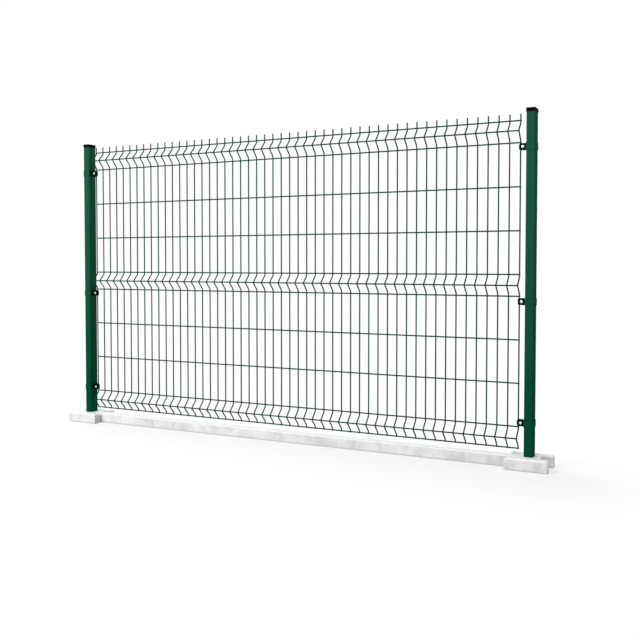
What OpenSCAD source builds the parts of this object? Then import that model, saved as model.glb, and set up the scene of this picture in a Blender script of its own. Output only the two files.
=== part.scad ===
// Welded mesh fence panel: one bay between two posts on a concrete kickboard.
// Origin: centre of the left post's foot, at ground level.
// +X runs along the fence, the front faces -Y, +Z is up. Millimetres.

/* [Post] */
// Width of a post along the fence
post_width = 40; // [30:1:80]
// Depth of a post across the fence
post_depth = 60; // [40:1:100]
// Wall of the post's hollow section
post_wall = 2; // [1.5:0.5:4]
// Outer radius of the post's corners
post_corner_r = 5; // [3:0.5:10]
// Height of the post's top end above the ground
post_height = 1633; // [1620:1:2200]

/* [Post cap] */
// How far the cap's skirt reaches down over the post
cap_skirt = 15; // [8:1:40]
// Wall of the cap's skirt
cap_wall = 1.7; // [1:0.1:4]
// Thickness of the cap's top
cap_top = 3; // [2:0.5:8]
// Radius of the cap's top edges
cap_edge_r = 5; // [1:0.5:5.5]

/* [Mesh] */
// Number of vertical wires
upright_count = 51; // [11:1:61]
// Distance between vertical wires
upright_pitch = 50; // [25:1:100]
// Distance between horizontal wires on the flat parts of the panel
row_pitch = 200; // [100:5:250]
// Number of rows of open mesh between two folds
rows_between_folds = 3; // [2:1:4]
// Height of a fold, from its lower to its upper horizontal wire
fold_height = 100; // [60:5:150]
// How far a fold's ridge stands in front of the panel
fold_depth = 35; // [10:1:60]
// Straight wire between a fold's outer horizontal wire and its bend
fold_lead = 11; // [8:1:20]
// Side of the wire
wire = 6; // [3:0.5:8]
// How deep two wires are pressed into each other at a weld
weld_sink = 1; // [0.5:0.25:2]
// Length of the wire ends above the top horizontal wire
spike = 30; // [0:1:50]

/* [Clamps] */
// Gap between the post and the middle of the panel's outer wire
side_gap = 31.5; // [20:0.5:60]
// Thickness of the clamp's strip
strip = 2; // [1.5:0.25:4]
// Height of the clamp's strip
clamp_height = 32; // [22:1:34]
// Length of an ear past the middle of the panel's outer wire
ear_past_wire = 6.5; // [3:0.5:15]
// Radius of an ear's two free corners
ear_corner_r = 9; // [2:0.5:10]
// Diameter of the bolt hole in the ears
bolt_hole = 9; // [6:0.5:12]
// Distance from the post to the middle of the bolt hole
bolt_hole_from_post = 19.5; // [14:0.5:22]
// Distance of the upper clamps' middles below the upper fold
upper_clamp_under_fold = 20; // [20:0.5:60]
// Distance of the middle clamps' middles below the middle fold
middle_clamp_under_fold = 23.5; // [20:0.5:60]
// Distance of the lower clamps' middles above the lower fold
lower_clamp_over_fold = 20.5; // [20:0.5:60]

/* [Kickboard] */
// Height of the concrete above the ground
concrete_height = 55; // [40:1:300]
// Thickness of the kickboard
board_thick = 50; // [35:1:70]
// Bevel along the top edges of the concrete
bevel = 6; // [1:0.5:10]
// Length of a connector along the fence
connector_length = 195; // [160:1:300]
// Width of a connector across the fence
connector_width = 170; // [150:1:220]
// Width of a connector's slot for a kickboard
slot_width = 80; // [75:1:110]
// Depth of a connector's slot for a kickboard
slot_depth = 48.5; // [30:0.5:60]
// Gap between the kickboard and the panel's bottom wire
board_to_mesh = 30; // [10:1:80]

/* [Fit] */
// Clearance round the post in the clamps, the caps and the connectors
clearance = 0.3; // [0.1:0.1:1]

/* [Hidden] */
$fn = 48;

// How far a cutting solid runs past what it cuts
over = 1;
// Sides of a horizontal wire, one of which faces the upright wires
wire_sides = 8;

// Places along the fence
first_wire_x = post_width / 2 + side_gap;
mesh_length = (upright_count - 1) * upright_pitch;
post_spacing = mesh_length + 2 * first_wire_x;

// Heights
mesh_bottom = concrete_height + board_to_mesh;
fold_spacing = fold_height + rows_between_folds * row_pitch;
function fold_base(i) = mesh_bottom + i * fold_spacing;
function fold_top(i) = fold_base(i) + fold_height;

// The panel's parts meet face to face just past each fold
top_fold = 2;
past_fold = 8;
function part_low(i) = i == 0 ? mesh_bottom - wire / 2 : fold_base(i) - past_fold;
function part_high(i) = i == top_fold ? fold_top(i) + spike : fold_top(i) + past_fold;

// Middle line of a vertical wire across one fold, as [y, z] points
function fold_line(i) = [[0, part_low(i)],
    [0, fold_base(i) + fold_lead],
    [-fold_depth, fold_base(i) + fold_height / 2],
    [0, fold_top(i) - fold_lead],
    [0, part_high(i)]];

// Side of a line of points, moved off it by h, with mitred corners
function normal(a, b) = [a[1] - b[1], b[0] - a[0]] / norm(b - a);
function side_point(line, i, h) =
    let (last = len(line) - 1,
        n1 = i == 0 ? normal(line[0], line[1]) : normal(line[i - 1], line[i]),
        n2 = i == last ? n1 : normal(line[i], line[i + 1]),
        m = n1 + n2)
    line[i] + m * h / (m * n1);
function band(line, h) = concat(
    [for (i = [0:len(line) - 1]) side_point(line, i, h)],
    [for (i = [len(line) - 1:-1:0]) side_point(line, i, -h)]);

// Horizontal wires as [y, z] of their middles, before they are set behind the upright wires
row_back = wire - weld_sink;
function fold_rows(i) = [[0, fold_base(i)], [-fold_depth, fold_base(i) + fold_height / 2],
    [0, fold_top(i)]];
function plain_rows(i) = [for (j = [1:rows_between_folds - 1])
    [0, fold_top(i) + j * row_pitch]];

// Heights of the clamps' middles
upper_clamp_z = fold_base(top_fold) - upper_clamp_under_fold;
middle_clamp_z = fold_base(1) - middle_clamp_under_fold;
lower_clamp_z = fold_top(0) + lower_clamp_over_fold;

module rounded_rectangle(w, d, r) {
    square([w - 2 * r, d], center = true);
    square([w, d - 2 * r], center = true);
    for (x = [-1, 1], y = [-1, 1])
        translate([x * (w / 2 - r), y * (d / 2 - r)]) circle(r);
}

module post_section(grow) {
    rounded_rectangle(post_width + 2 * grow, post_depth + 2 * grow, post_corner_r + grow);
}

module post(x) {
    color("#1b5a41")
    translate([x, 0, 0])
    linear_extrude(post_height) difference() {
        post_section(0);
        post_section(-post_wall);
    }
}

// Plastic cap pushed over the post's top end
module cap(x) {
    w = post_width + 2 * (clearance + cap_wall);
    d = post_depth + 2 * (clearance + cap_wall);
    h = cap_skirt + cap_top;
    color("#15181a")
    translate([x, 0, post_height - cap_skirt])
    difference() {
        intersection() {
            linear_extrude(h) rounded_rectangle(w, d, post_corner_r + clearance + cap_wall);
            translate([0, d, 0]) rotate([90, 0, 0])
                linear_extrude(2 * d) domed_profile(w, h, cap_edge_r);
            translate([-w, 0, 0]) rotate([90, 0, 90])
                linear_extrude(2 * w) domed_profile(d, h, cap_edge_r);
        }
        translate([0, 0, -over]) linear_extrude(cap_skirt + over) post_section(clearance);
    }
}

// Upright rectangle on the baseline, its two upper corners rounded
module domed_profile(w, h, r) {
    translate([-w / 2, 0]) square([w, h - r]);
    translate([-w / 2 + r, 0]) square([w - 2 * r, h]);
    for (x = [-1, 1]) translate([x * (w / 2 - r), h - r]) circle(r);
}

// Bent strip round the post, with two ears that hold the panel's outer wire between them
module clamp(x, z, side) {
    face = post_width / 2;
    ears = [first_wire_x + ear_past_wire, wire + 2 * strip, clamp_height];
    slit = [first_wire_x + ear_past_wire, wire, 2 * clamp_height];
    color("#1b5a41")
    translate([x, 0, z]) mirror([side > 0 ? 1 : 0, 0, 0])
    difference() {
        intersection() {
            translate([0, 0, -clamp_height / 2]) union() {
                linear_extrude(clamp_height) post_section(clearance + strip);
                translate([0, -ears[1] / 2, 0]) cube(ears);
            }
            translate([0, post_depth, 0]) rotate([90, 0, 0])
                linear_extrude(2 * post_depth) ear_outline();
        }
        translate([0, 0, -clamp_height]) linear_extrude(2 * clamp_height)
            post_section(clearance);
        translate([face, -wire / 2, -clamp_height]) cube(slit);
        translate([face + bolt_hole_from_post, 0, 0])
            rotate([90, 0, 0]) cylinder(h = post_depth, d = bolt_hole, center = true);
    }
}

// The strip seen from the front: its free end has two rounded corners
module ear_outline() {
    end = first_wire_x + ear_past_wire;
    h = clamp_height / 2;
    r = ear_corner_r;
    translate([-post_width, -h]) square([post_width + end - r, 2 * h]);
    translate([0, r - h]) square([end, 2 * (h - r)]);
    for (z = [-1, 1]) translate([end - r, z * (h - r)]) circle(r);
}

// Concrete block that holds the kickboards of two bays round one post
module connector(x) {
    color("#d9d8d4")
    translate([x, 0, 0])
    difference() {
        intersection() {
            translate([-connector_length / 2, -connector_width / 2, 0])
                cube([connector_length, connector_width, concrete_height]);
            translate([-connector_length, 0, 0]) rotate([90, 0, 90])
                linear_extrude(2 * connector_length) bevelled_profile(connector_width);
            translate([0, connector_width, 0]) rotate([90, 0, 0])
                linear_extrude(2 * connector_width) bevelled_profile(connector_length);
        }
        for (side = [0, 1]) mirror([side, 0, 0])
            translate([connector_length / 2 - slot_depth, -slot_width / 2, -over])
                cube([slot_depth + over, slot_width, concrete_height + 2 * over]);
        translate([0, 0, -over]) linear_extrude(concrete_height + 2 * over)
            post_section(clearance);
    }
}

// Upright section of the concrete with its two upper edges bevelled
module bevelled_profile(w) {
    h = concrete_height;
    polygon([[-w / 2, 0], [w / 2, 0], [w / 2, h - bevel], [w / 2 - bevel, h],
        [bevel - w / 2, h], [-w / 2, h - bevel]]);
}

// The board butts against the webs of the two connectors
module kickboard() {
    web = connector_length / 2 - slot_depth;
    color("#dddcd8")
    translate([web, 0, 0]) rotate([90, 0, 90])
        linear_extrude(post_spacing - 2 * web) bevelled_profile(board_thick);
}

// Upright wires along a line of points, with horizontal wires welded behind them
module mesh(line, rows) {
    half_side = 180 / wire_sides;
    color("#2c5a47")
    union() {
        for (i = [0:upright_count - 1])
            translate([first_wire_x + i * upright_pitch, 0, 0])
            rotate([90, 0, 90]) linear_extrude(wire, center = true)
            polygon(band(line, wire / 2));
        for (row = rows)
            translate([first_wire_x - wire / 2, row[0] + row_back, row[1]])
            rotate([0, 90, 0]) rotate([0, 0, half_side])
            cylinder(h = mesh_length + wire, r = wire / 2 / cos(half_side), $fn = wire_sides);
    }
}

// One fold of the panel, with three horizontal wires
module mesh_fold(i) {
    mesh(fold_line(i), fold_rows(i));
}

// The flat mesh between fold i and the next one
module mesh_rows(i) {
    mesh([[0, part_high(i)], [0, part_low(i + 1)]], plain_rows(i));
}

post(0);  // left_post
post(post_spacing);  // right_post
cap(0);  // left_post_cap
cap(post_spacing);  // right_post_cap
clamp(0, upper_clamp_z, -1);  // left_upper_clamp
clamp(0, middle_clamp_z, -1);  // left_middle_clamp
clamp(0, lower_clamp_z, -1);  // left_lower_clamp
clamp(post_spacing, upper_clamp_z, 1);  // right_upper_clamp
clamp(post_spacing, middle_clamp_z, 1);  // right_middle_clamp
clamp(post_spacing, lower_clamp_z, 1);  // right_lower_clamp
connector(0);  // left_connector
connector(post_spacing);  // right_connector
kickboard();
mesh_fold(0);  // mesh_lower_fold
mesh_rows(0);  // mesh_lower_rows
mesh_fold(1);  // mesh_middle_fold
mesh_rows(1);  // mesh_upper_rows
mesh_fold(top_fold);  // mesh_upper_fold
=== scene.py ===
"""Looks of the welded mesh fence panel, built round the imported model. Metres, +Z up, front -Y."""

import math

import bmesh
import bpy
import numpy as np
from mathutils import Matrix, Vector


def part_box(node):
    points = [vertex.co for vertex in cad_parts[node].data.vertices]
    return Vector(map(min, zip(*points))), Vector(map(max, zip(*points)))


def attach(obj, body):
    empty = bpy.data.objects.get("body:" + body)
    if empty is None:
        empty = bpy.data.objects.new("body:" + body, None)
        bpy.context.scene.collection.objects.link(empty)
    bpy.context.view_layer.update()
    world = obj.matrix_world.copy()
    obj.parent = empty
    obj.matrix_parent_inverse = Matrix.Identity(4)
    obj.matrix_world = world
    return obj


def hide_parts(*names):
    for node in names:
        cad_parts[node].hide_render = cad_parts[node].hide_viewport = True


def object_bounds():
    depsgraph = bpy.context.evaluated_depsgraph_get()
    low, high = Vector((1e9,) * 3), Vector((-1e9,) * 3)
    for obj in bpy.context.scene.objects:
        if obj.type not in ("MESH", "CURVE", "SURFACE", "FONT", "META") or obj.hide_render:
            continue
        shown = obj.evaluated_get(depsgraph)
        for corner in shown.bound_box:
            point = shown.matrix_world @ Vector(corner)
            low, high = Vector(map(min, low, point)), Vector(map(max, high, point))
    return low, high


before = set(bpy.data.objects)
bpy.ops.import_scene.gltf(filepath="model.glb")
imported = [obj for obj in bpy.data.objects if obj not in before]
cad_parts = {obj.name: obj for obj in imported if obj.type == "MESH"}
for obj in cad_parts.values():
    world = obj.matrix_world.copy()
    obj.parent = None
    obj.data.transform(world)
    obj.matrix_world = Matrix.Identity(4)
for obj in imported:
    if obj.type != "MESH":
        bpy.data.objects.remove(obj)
cad_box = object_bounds()

# The panel: sizes of its wire, as in the model
BAR = 0.006
UPRIGHTS = 51
ROW_PITCH = 0.2
ROWS_BETWEEN_FOLDS = 3
FOLD_HEIGHT = 0.1
FOLD_DEPTH = 0.035
FOLD_LEAD = 0.011
FOLDS = 3
SPIKE = 0.03
WELD_SINK = 0.001

# The panel: round wire of the same section as the model's square bar, and how finely it is made
WIRE = BAR * math.sqrt(4 / math.pi)
WIRE_SIDES = 12
KNEE_RADIUS = 0.014
RIDGE_RADIUS = 0.006
BEND_STEPS = 5
END_BEVEL = 0.0008
WELD_SIZE = (0.0042, 0.0024, 0.0042)

# Bolts of the clamps: M8 with a hexagon head at the front, a washer and a nut behind
BOLT_FROM_POST = 0.0195
SHANK_RADIUS = 0.004
HEX_RADIUS = 0.0069
HEAD_HEIGHT = 0.0053
NUT_HEIGHT = 0.0065
WASHER_RADIUS = 0.008
WASHER_HEIGHT = 0.0016
SHANK_PAST_NUT = 0.003
HEX_BEVEL = 0.0007
EAR_THICKNESS = 0.002

# Powder coat: so matt that it shows no sheen even at a glancing angle
MATT_SPECULAR = 0.0

# Concrete: where the painted light on its arrises and top begins, and how high the painted contact
# shadow at the ground reaches
PAINTED_TOP_LIGHT = (0.0475, 0.0495)
GROUND_CONTACT_SHADOW = (0.003, 0.008)

# Concrete: painted shade on the left connector's end beside the board, a little darker as far in as
# its slot
SHADED_END_LENGTH = 0.05
SHADED_END_EDGE = 0.0005

# Light: what the world and the floor give the object
WORLD_LIGHT = 0.45
FLOOR_BOUNCE = 0.7

# Floor: how far it glows white by itself under the fence, and where that becomes all of it
FLOOR_TONE = 0.9
FLOOR_GLOW = 0.5
FLOOR_FADE = (0.2, 0.55)
FLOOR_FRONT = 0.25

# The photograph's camera, fitted to the crossings of the wires
CAMERA_PLACE = (3.5087, -3.8865, 0.9339)
CAMERA_YAW = 27.321
CAMERA_PITCH = -2.034
CAMERA_LENS = 47.93
CAMERA_SHIFT = (0.0075, -0.0405)

MESH_NODES = ("mesh_lower_fold", "mesh_lower_rows", "mesh_middle_fold", "mesh_upper_rows",
              "mesh_upper_fold")
POSTS = {"left": "left_post", "right": "right_post"}
CAPS = ("left_post_cap", "right_post_cap")
CONCRETE_NODES = ("kickboard", "left_connector", "right_connector")
LEVELS = ("upper", "middle", "lower")


def rgb(r, g, b):
    """A colour picked as it looks on screen, as a linear colour."""
    def linear(c):
        c /= 255
        return c / 12.92 if c <= 0.04045 else ((c + 0.055) / 1.055) ** 2.4
    return (linear(r), linear(g), linear(b), 1.0)


class Shader:
    """A Principled material with short names for the nodes that it is made of."""

    def __init__(self, name, roughness, specular, metallic=0.0):
        self.material = bpy.data.materials.new(name)
        self.material.use_nodes = True
        self.tree = self.material.node_tree
        self.surface = self.tree.nodes["Principled BSDF"]
        self.surface.inputs["Roughness"].default_value = roughness
        self.surface.inputs["Specular IOR Level"].default_value = specular
        self.surface.inputs["Metallic"].default_value = metallic
        self.place = self.tree.nodes.new("ShaderNodeTexCoord").outputs["Object"]

    def node(self, kind, **settings):
        made = self.tree.nodes.new(kind)
        for key, value in settings.items():
            setattr(made, key, value)
        return made

    def link(self, source, target):
        self.tree.links.new(source, target)

    def colour(self, source):
        self.link(source, self.surface.inputs["Base Color"])

    def noise(self, scale, detail=2.0, roughness=0.5, distortion=0.0):
        made = self.node("ShaderNodeTexNoise")
        made.inputs["Scale"].default_value = scale
        made.inputs["Detail"].default_value = detail
        made.inputs["Roughness"].default_value = roughness
        made.inputs["Distortion"].default_value = distortion
        self.link(self.place, made.inputs["Vector"])
        return made.outputs["Fac"]

    def cells(self, scale):
        made = self.node("ShaderNodeTexVoronoi")
        made.inputs["Scale"].default_value = scale
        self.link(self.place, made.inputs["Vector"])
        return made.outputs["Distance"]

    def axis(self, name):
        made = self.node("ShaderNodeSeparateXYZ")
        self.link(self.place, made.inputs["Vector"])
        return made.outputs[name]

    def ramp(self, value, stops):
        made = self.node("ShaderNodeValToRGB")
        first, last = made.color_ramp.elements
        first.position, first.color = stops[0]
        last.position, last.color = stops[-1]
        for position, colour in stops[1:-1]:
            made.color_ramp.elements.new(position).color = colour
        self.link(value, made.inputs["Fac"])
        return made.outputs["Color"]

    def math(self, operation, a, b):
        made = self.node("ShaderNodeMath", operation=operation)
        for socket, value in zip(made.inputs, (a, b)):
            if isinstance(value, (int, float)):
                socket.default_value = value
            else:
                self.link(value, socket)
        return made.outputs["Value"]

    def range(self, value, low, high, to_low=0.0, to_high=1.0):
        made = self.node("ShaderNodeMapRange")
        for name, number in (("From Min", low), ("From Max", high),
                             ("To Min", to_low), ("To Max", to_high)):
            made.inputs[name].default_value = number
        self.link(value, made.inputs["Value"])
        return made.outputs["Result"]

    def inside(self, low, high, edge):
        """1 between two corners as seen from above, fading to 0 just outside them."""
        share = 1.0
        for name, start, end in zip("XY", low, high):
            place = self.axis(name)
            share = self.math("MULTIPLY", share, self.range(place, start - edge, start))
            share = self.math("MULTIPLY", share, self.range(place, end, end + edge, 1.0, 0.0))
        return share

    def clamped(self, value):
        made = self.node("ShaderNodeClamp")
        self.link(value, made.inputs["Value"])
        return made.outputs["Result"]

    def mix(self, factor, a, b, blend="MIX"):
        made = self.node("ShaderNodeMix", data_type="RGBA", blend_type=blend)
        if isinstance(factor, float):
            made.inputs["Factor"].default_value = factor
        else:
            self.link(factor, made.inputs["Factor"])
        for socket, value in zip([s for s in made.inputs if s.type == "RGBA"], (a, b)):
            if isinstance(value, tuple):
                socket.default_value = value
            else:
                self.link(value, socket)
        return next(s for s in made.outputs if s.type == "RGBA")

    def bump(self, *layers):
        """Stacks bumps: each layer is a height, its depth in metres and its strength."""
        normal = None
        for height, distance, strength in layers:
            made = self.node("ShaderNodeBump")
            made.inputs["Distance"].default_value = distance
            made.inputs["Strength"].default_value = strength
            self.link(height, made.inputs["Height"])
            if normal is not None:
                self.link(normal, made.inputs["Normal"])
            normal = made.outputs["Normal"]
        self.link(normal, self.surface.inputs["Normal"])


def coat_colour(shader, deep, top_sheen):
    """Powder coat painted a little paler towards the top as painted sheen and light from above, with
    random cloudy tone.
    """
    # heights between which the painted sheen sets in
    low, high = 0.25, 1.35
    height = shader.range(shader.axis("Z"), low, high)
    cloud = shader.range(shader.noise(3.0, detail=3.0), 0.3, 0.7, -0.12, 0.12)
    return shader.mix(shader.clamped(shader.math("ADD", height, cloud)), deep, top_sheen)


def coat_surface(shader, roughness):
    """The fine orange peel and uneven gloss of powder coat."""
    gloss = shader.range(shader.noise(60.0), 0.3, 0.7, roughness - 0.05, roughness + 0.06)
    shader.link(gloss, shader.surface.inputs["Roughness"])
    shader.bump((shader.noise(420.0, detail=1.0), 0.00008, 0.5),
                (shader.noise(1500.0), 0.00003, 0.3))


def powder_coat(name, deep, top_sheen, roughness=0.55):
    s = Shader(name, roughness, MATT_SPECULAR)
    s.colour(coat_colour(s, deep, top_sheen))
    coat_surface(s, roughness)
    return s.material


def clamp_coat(name, deep, top_sheen, dark):
    """Powder coat like the post's on the strip, and dark on the ears beside the posts."""
    s = Shader(name, 0.55, MATT_SPECULAR)
    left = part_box(POSTS["left"])[1][0] + 0.0015
    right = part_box(POSTS["right"])[0][0] - 0.0015
    x = s.axis("X")
    between = s.math("MULTIPLY", s.range(x, left, left + 0.001),
                     s.range(x, right - 0.001, right, 1.0, 0.0))
    s.colour(s.mix(between, coat_colour(s, deep, top_sheen), dark))
    coat_surface(s, 0.55)
    return s.material


def moulded_plastic(name):
    """Matt black plastic with the fine spark-eroded grain of a mould."""
    s = Shader(name, 0.6, 0.02)
    s.colour(s.mix(s.range(s.noise(40.0), 0.35, 0.65), rgb(2, 3, 4), rgb(6, 8, 10)))
    s.bump((s.noise(900.0, detail=3.0), 0.00008, 0.6))
    return s.material


def zinc_plate(name):
    """Bright zinc with a faint crystalline cloudiness."""
    s = Shader(name, 0.38, 0.5, metallic=0.75)
    s.colour(s.mix(s.range(s.noise(300.0, detail=3.0), 0.3, 0.7), rgb(196, 215, 207),
                   rgb(216, 231, 225)))
    s.bump((s.noise(1200.0), 0.00004, 0.4))
    return s.material


def pale_concrete(name):
    """Cast concrete: cloudy patches, sandy grain, small air holes painted dark as shade in the pits,
    painted light on the arrises and top, painted shade on the left connector's end and a painted
    contact shadow at the ground.
    """
    s = Shader(name, 0.85, 0.2)
    height = s.axis("Z")
    clouds = s.noise(11.0, detail=5.0, roughness=0.55, distortion=0.6)
    tone = s.ramp(clouds, [(0.34, rgb(212, 212, 213)), (0.5, rgb(230, 230, 231)),
                           (0.66, rgb(242, 242, 243))])
    # painted shade: the left connector's end in the corner beside the board
    end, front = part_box("left_connector")[1][0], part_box("left_connector")[0][1]
    painted_end_shade = s.inside((end - SHADED_END_LENGTH, front + 2 * SHADED_END_EDGE),
                        (end + SHADED_END_EDGE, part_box("kickboard")[0][1] - 2 * SHADED_END_EDGE),
                        SHADED_END_EDGE)
    tone = s.mix(painted_end_shade, tone, rgb(219, 219, 219), blend="MULTIPLY")
    # painted light: the top and arrises paler, as lit from above
    tone = s.mix(s.range(height, *PAINTED_TOP_LIGHT, 0.0, 0.85), tone, rgb(250, 250, 251))
    grain = s.ramp(s.noise(230.0, detail=4.0, roughness=0.7),
                   [(0.3, rgb(224, 224, 224)), (0.6, rgb(255, 255, 255))])
    tone = s.mix(0.3, tone, grain, blend="MULTIPLY")
    holes = s.range(s.cells(95.0), 0.05, 0.14)
    # the air holes are bumped in, and their darker colour is painted shade in the pits
    tone = s.mix(holes, rgb(165, 165, 165), tone)
    # painted contact shadow: darker near the ground
    s.colour(s.mix(s.range(height, *GROUND_CONTACT_SHADOW), rgb(196, 196, 196), tone))
    s.bump((s.noise(60.0, detail=4.0), 0.0008, 0.4), (s.noise(500.0, detail=3.0), 0.0004, 0.5),
           (holes, 0.0010, 0.6))
    return s.material


# Each coat's second colour is its painted sheen, reached towards the top
DEEP_GREEN = rgb(8, 71, 45)
PAINTED_SHEEN_GREEN = rgb(30, 82, 59)
COAT = powder_coat("post_green", DEEP_GREEN, PAINTED_SHEEN_GREEN)
CLAMP_COAT = clamp_coat("clamp_green", DEEP_GREEN, PAINTED_SHEEN_GREEN, rgb(4, 24, 16))
WIRE_COAT = powder_coat("wire_green", rgb(9, 72, 53), rgb(16, 75, 58))
PLASTIC = moulded_plastic("cap_black")
ZINC = zinc_plate("bolt_zinc")
CONCRETE = pale_concrete("pale_concrete")


def dress(nodes, material):
    """Gives CAD nodes a material in place of their plain one."""
    for name in nodes:
        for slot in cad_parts[name].material_slots:
            slot.material = material


def circle(radius, sides, start=0.0):
    """Points round a circle as pairs."""
    turns = (start + 2 * math.pi * k / sides for k in range(sides))
    return [(radius * math.cos(turn), radius * math.sin(turn)) for turn in turns]


def rounded_path(corners, radii):
    """A line of [y, z] points with its inner corners turned into arcs."""
    path = [Vector(corners[0])]
    for before, corner, after, radius in zip(corners, corners[1:], corners[2:], radii):
        corner = Vector(corner)
        back = (Vector(before) - corner).normalized()
        ahead = (Vector(after) - corner).normalized()
        half_turn = (math.pi - back.angle(ahead)) / 2
        centre = corner + (back + ahead).normalized() * radius / math.cos(half_turn)
        start = corner + back * radius * math.tan(half_turn) - centre
        end = corner + ahead * radius * math.tan(half_turn) - centre
        for step in range(BEND_STEPS + 1):
            path.append(centre + start.slerp(end, step / BEND_STEPS).normalized() * radius)
    path.append(Vector(corners[-1]))
    return path


class Geometry:
    """Gathers vertices and faces of many small forms into one mesh."""

    def __init__(self):
        self.points = []
        self.faces = []

    def add(self, points, faces):
        first = len(self.points)
        self.points.extend(points)
        self.faces.extend([tuple(first + i for i in face) for face in faces])

    def tube(self, rings):
        """Skins rings of points and closes both ends."""
        sides = len(rings[0])
        last = (len(rings) - 1) * sides
        faces = [tuple(range(sides)), tuple(range(last, last + sides))]
        for start in range(0, last, sides):
            for i in range(sides):
                j = (i + 1) % sides
                faces.append((start + i, start + j, start + sides + j, start + sides + i))
        self.add([point for ring in rings for point in ring], faces)

    def turned(self, x, z, stations, sides):
        """A form turned about a line along Y: stations are pairs of y and radius."""
        self.tube([[(x + a, y, z + b) for a, b in circle(radius, sides, math.pi / sides)]
                   for y, radius in stations])

    def blob(self, centre, size, around=8, levels=4):
        """A small ellipsoid with open poles closed by flat ends."""
        x, y, z = centre
        rings = []
        for level in range(levels + 1):
            tilt = math.pi * (0.08 + 0.84 * level / levels)
            rings.append([(x + size[0] * a, y + size[1] * b, z - size[2] * math.cos(tilt))
                          for a, b in circle(math.sin(tilt), around)])
        self.tube(rings)

    def build(self, name, material, smooth_angle=40):
        mesh = bpy.data.meshes.new(name)
        mesh.from_pydata(self.points, [], self.faces)
        shell = bmesh.new()
        shell.from_mesh(mesh)
        bmesh.ops.recalc_face_normals(shell, faces=shell.faces)
        shell.to_mesh(mesh)
        shell.free()
        mesh.materials.append(material)
        mesh.set_sharp_from_angle(angle=math.radians(smooth_angle))
        made = bpy.data.objects.new(name, mesh)
        bpy.context.collection.objects.link(made)
        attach(made, "root")
        return made


def upright_rings(path, x):
    """Rings round a wire that follows [y, z] points in the plane at x, its ends bevelled."""
    last = len(path) - 1
    stations = []
    for i, at in enumerate(path):
        along = (path[min(i + 1, last)] - path[max(i - 1, 0)]).normalized()
        if i in (0, last):
            inward = along if i == 0 else -along
            ends = [(at, WIRE / 2 - END_BEVEL, along), (at + inward * END_BEVEL, WIRE / 2, along)]
            stations += ends if i == 0 else ends[::-1]
        else:
            stations.append((at, WIRE / 2, along))
    return [[(x + a, at.x + b * along.y, at.y - b * along.x)
             for a, b in circle(radius, WIRE_SIDES)] for at, radius, along in stations]


def row_rings(start, end, y, z):
    """Rings round a straight wire along X, its ends bevelled."""
    stations = ((start, WIRE / 2 - END_BEVEL), (start + END_BEVEL, WIRE / 2),
                (end - END_BEVEL, WIRE / 2), (end, WIRE / 2 - END_BEVEL))
    return [[(x, y + a, z + b) for a, b in circle(radius, WIRE_SIDES)] for x, radius in stations]


def fold_bases(bottom):
    spacing = FOLD_HEIGHT + ROWS_BETWEEN_FOLDS * ROW_PITCH
    return [bottom + i * spacing for i in range(FOLDS)]


def upright_path(bottom):
    """Middle line of an upright wire with its three folds."""
    turn = math.atan(FOLD_DEPTH / (FOLD_HEIGHT / 2 - FOLD_LEAD))
    ridge = FOLD_DEPTH + RIDGE_RADIUS * (1 / math.cos(turn) - 1)
    corners = [(0, bottom - BAR / 2)]
    for base in fold_bases(bottom):
        corners += [(0, base + FOLD_LEAD), (-ridge, base + FOLD_HEIGHT / 2),
                    (0, base + FOLD_HEIGHT - FOLD_LEAD)]
    corners.append((0, fold_bases(bottom)[-1] + FOLD_HEIGHT + SPIKE))
    return rounded_path(corners, [KNEE_RADIUS, RIDGE_RADIUS, KNEE_RADIUS] * FOLDS)


def row_places(bottom):
    """Middles of the horizontal wires as [y, z], before they are set behind the uprights."""
    rows = []
    for i, base in enumerate(fold_bases(bottom)):
        rows += [(0, base), (-FOLD_DEPTH, base + FOLD_HEIGHT / 2), (0, base + FOLD_HEIGHT)]
        if i < FOLDS - 1:
            rows += [(0, base + FOLD_HEIGHT + j * ROW_PITCH)
                     for j in range(1, ROWS_BETWEEN_FOLDS)]
    return rows


def make_panel():
    """The welded panel in round wire: folded uprights, rows behind them, a weld at each crossing."""
    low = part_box(MESH_NODES[0])[0]
    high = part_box(MESH_NODES[-1])[1]
    bottom = low[2] + BAR / 2
    places = [float(x) for x in np.linspace(low[0] + BAR / 2, high[0] - BAR / 2, UPRIGHTS)]
    path = upright_path(bottom)
    behind = BAR - WELD_SINK
    wires = Geometry()
    for x in places:
        wires.tube(upright_rings(path, x))
    for y, z in row_places(bottom):
        wires.tube(row_rings(low[0], high[0], y + behind, z))
        for x in places:
            wires.blob((x, y + behind / 2, z), WELD_SIZE)
    panel = wires.build("welded_panel", WIRE_COAT)
    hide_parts(*MESH_NODES)


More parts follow.
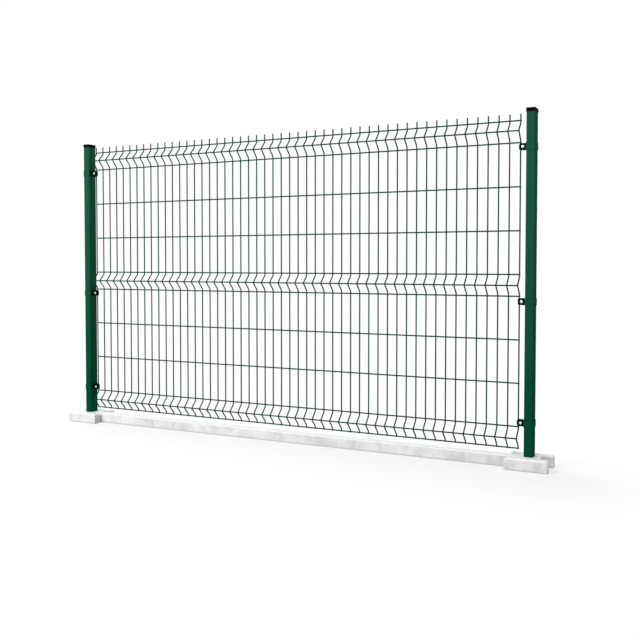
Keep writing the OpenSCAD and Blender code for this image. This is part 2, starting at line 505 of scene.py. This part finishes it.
def make_bolt(side, level):
    """The bolt through a clamp's ears: hexagon head in front, washer and nut behind."""
    low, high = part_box(f"{side}_{level}_clamp")
    post_low, post_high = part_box(POSTS[side])
    x = post_high[0] + BOLT_FROM_POST if side == "left" else post_low[0] - BOLT_FROM_POST
    z = (low[2] + high[2]) / 2
    ear = BAR / 2 + EAR_THICKNESS
    head, nut = -ear - HEAD_HEIGHT, ear + WASHER_HEIGHT + NUT_HEIGHT
    bolt = Geometry()
    bolt.turned(x, z, [(head, HEX_RADIUS - HEX_BEVEL), (head + HEX_BEVEL / 2, HEX_RADIUS),
                       (-ear, HEX_RADIUS)], 6)
    bolt.turned(x, z, [(-ear - HEX_BEVEL, SHANK_RADIUS), (nut + SHANK_PAST_NUT - HEX_BEVEL,
                       SHANK_RADIUS), (nut + SHANK_PAST_NUT, SHANK_RADIUS - HEX_BEVEL)], 20)
    bolt.turned(x, z, [(ear, WASHER_RADIUS), (ear + WASHER_HEIGHT, WASHER_RADIUS)], 28)
    bolt.turned(x, z, [(ear + WASHER_HEIGHT, HEX_RADIUS), (nut - HEX_BEVEL / 2, HEX_RADIUS),
                       (nut, HEX_RADIUS - HEX_BEVEL)], 6)
    bolt.build(f"{side}_{level}_bolt", ZINC, 30)


def seen_directly(tree):
    """1 for what the camera, reflections and glass see, 0 for what lights the object."""
    path = tree.nodes.new("ShaderNodeLightPath")
    total = path.outputs["Is Camera Ray"]
    for name in ("Is Glossy Ray", "Is Transmission Ray"):
        larger = tree.nodes.new("ShaderNodeMath")
        larger.operation = "MAXIMUM"
        tree.links.new(total, larger.inputs[0])
        tree.links.new(path.outputs[name], larger.inputs[1])
        total = larger.outputs[0]
    return total


def past(tree, value, half_length):
    """How far a coordinate lies beyond half a length on either side, or 0."""
    for operation, number in (("ABSOLUTE", 0.0), ("SUBTRACT", half_length), ("MAXIMUM", 0.0)):
        step = tree.nodes.new("ShaderNodeMath")
        step.operation = operation
        step.inputs[1].default_value = number
        tree.links.new(value, step.inputs[0])
        value = step.outputs[0]
    return value


def distance_from_fence(tree):
    """How far a point of the floor is from the fence's line."""
    place = tree.nodes.new("ShaderNodeSeparateXYZ")
    tree.links.new(tree.nodes.new("ShaderNodeTexCoord").outputs["Object"], place.inputs[0])
    flat = tree.nodes.new("ShaderNodeCombineXYZ")
    tree.links.new(past(tree, place.outputs["X"], (cad_box[1][0] - cad_box[0][0]) / 2),
                   flat.inputs["X"])
    tree.links.new(past(tree, place.outputs["Y"], 0.0), flat.inputs["Y"])
    length = tree.nodes.new("ShaderNodeVectorMath")
    length.operation = "LENGTH"
    tree.links.new(flat.outputs[0], length.inputs[0])
    return length.outputs["Value"]


def mapped(tree, value, source, target):
    made = tree.nodes.new("ShaderNodeMapRange")
    for name, number in zip(("From Min", "From Max", "To Min", "To Max"), source + target):
        made.inputs[name].default_value = number
    tree.links.new(value, made.inputs["Value"])
    return made.outputs["Result"]


def white_floor():
    """A pale floor that keeps the shadow near the fence and is white farther off."""
    material = bpy.data.materials.new("white_floor")
    material.use_nodes = True
    tree = material.node_tree
    tree.nodes.clear()
    new, link = tree.nodes.new, tree.links.new
    seen = seen_directly(tree)
    glow = mapped(tree, distance_from_fence(tree), FLOOR_FADE, (FLOOR_GLOW, 1.0))
    share = new("ShaderNodeMath")
    share.operation = "MULTIPLY"
    link(seen, share.inputs[0])
    link(glow, share.inputs[1])
    diffuse = new("ShaderNodeBsdfDiffuse")
    link(mapped(tree, seen, (0.0, 1.0), (FLOOR_BOUNCE, FLOOR_TONE)), diffuse.inputs["Color"])
    mix = new("ShaderNodeMixShader")
    link(share.outputs[0], mix.inputs[0])
    link(diffuse.outputs[0], mix.inputs[1])
    link(new("ShaderNodeEmission").outputs[0], mix.inputs[2])
    link(mix.outputs[0], new("ShaderNodeOutputMaterial").inputs["Surface"])
    return material


def make_floor():
    reach = 40.0
    mesh = bpy.data.meshes.new("floor")
    mesh.from_pydata([(-reach, -reach, 0), (reach, -reach, 0), (reach, reach, 0),
                      (-reach, reach, 0)], [], [(0, 1, 2, 3)])
    mesh.materials.append(white_floor())
    floor = bpy.data.objects.new("floor", mesh)
    floor.location = ((cad_box[0][0] + cad_box[1][0]) / 2, -FLOOR_FRONT, 0)
    bpy.context.collection.objects.link(floor)


def make_world():
    """An even white studio: white to the camera, a plain level to the object."""
    world = bpy.data.worlds.new("studio")
    bpy.context.scene.world = world
    world.use_nodes = True
    tree = world.node_tree
    background = tree.nodes["Background"]
    background.inputs["Color"].default_value = (1, 1, 1, 1)
    strength = mapped(tree, seen_directly(tree), (0.0, 1.0), (WORLD_LIGHT, 1.0))
    tree.links.new(strength, background.inputs["Strength"])


def aim(lamp, place, target):
    lamp.location = place
    lamp.rotation_euler = (Vector(target) - Vector(place)).to_track_quat("-Z", "Y").to_euler()
    bpy.context.collection.objects.link(lamp)


def make_lights():
    """A high soft box at the front left, soft light from behind and a weak fill from the right."""
    middle = (1.3, 0.0, 0.6)
    front = bpy.data.lights.new("front_light", "AREA")
    front.shape = "RECTANGLE"
    front.size, front.size_y = 4.2, 1.3
    front.energy = 236.0
    aim(bpy.data.objects.new("front_light", front), (-0.1, -4.6, 4.0), middle)
    for name, strength, place in (("back_light", 1.15, (-1.75, 2.5, 4.6)),
                                  ("fill_light", 0.5, (5.0, -0.5, 1.9))):
        sun = bpy.data.lights.new(name, "SUN")
        sun.angle = math.radians(60)
        sun.energy = strength
        aim(bpy.data.objects.new(name, sun), place, middle)


def make_camera():
    data = bpy.data.cameras.new("camera")
    data.lens = CAMERA_LENS
    data.sensor_width = 36.0
    data.shift_x, data.shift_y = CAMERA_SHIFT
    camera = bpy.data.objects.new("camera", data)
    camera.location = CAMERA_PLACE
    camera.rotation_euler = (math.radians(90 + CAMERA_PITCH), 0, math.radians(CAMERA_YAW))
    bpy.context.collection.objects.link(camera)
    bpy.context.scene.camera = camera


make_camera()
make_world()
make_lights()
make_floor()
dress(POSTS.values(), COAT)
dress(CAPS, PLASTIC)
dress([f"{side}_{level}_clamp" for side in POSTS for level in LEVELS], CLAMP_COAT)
make_panel()
for side in POSTS:
    for level in LEVELS:
        make_bolt(side, level)
dress(CONCRETE_NODES, CONCRETE)

bpy.context.scene.view_settings.view_transform = "Standard"
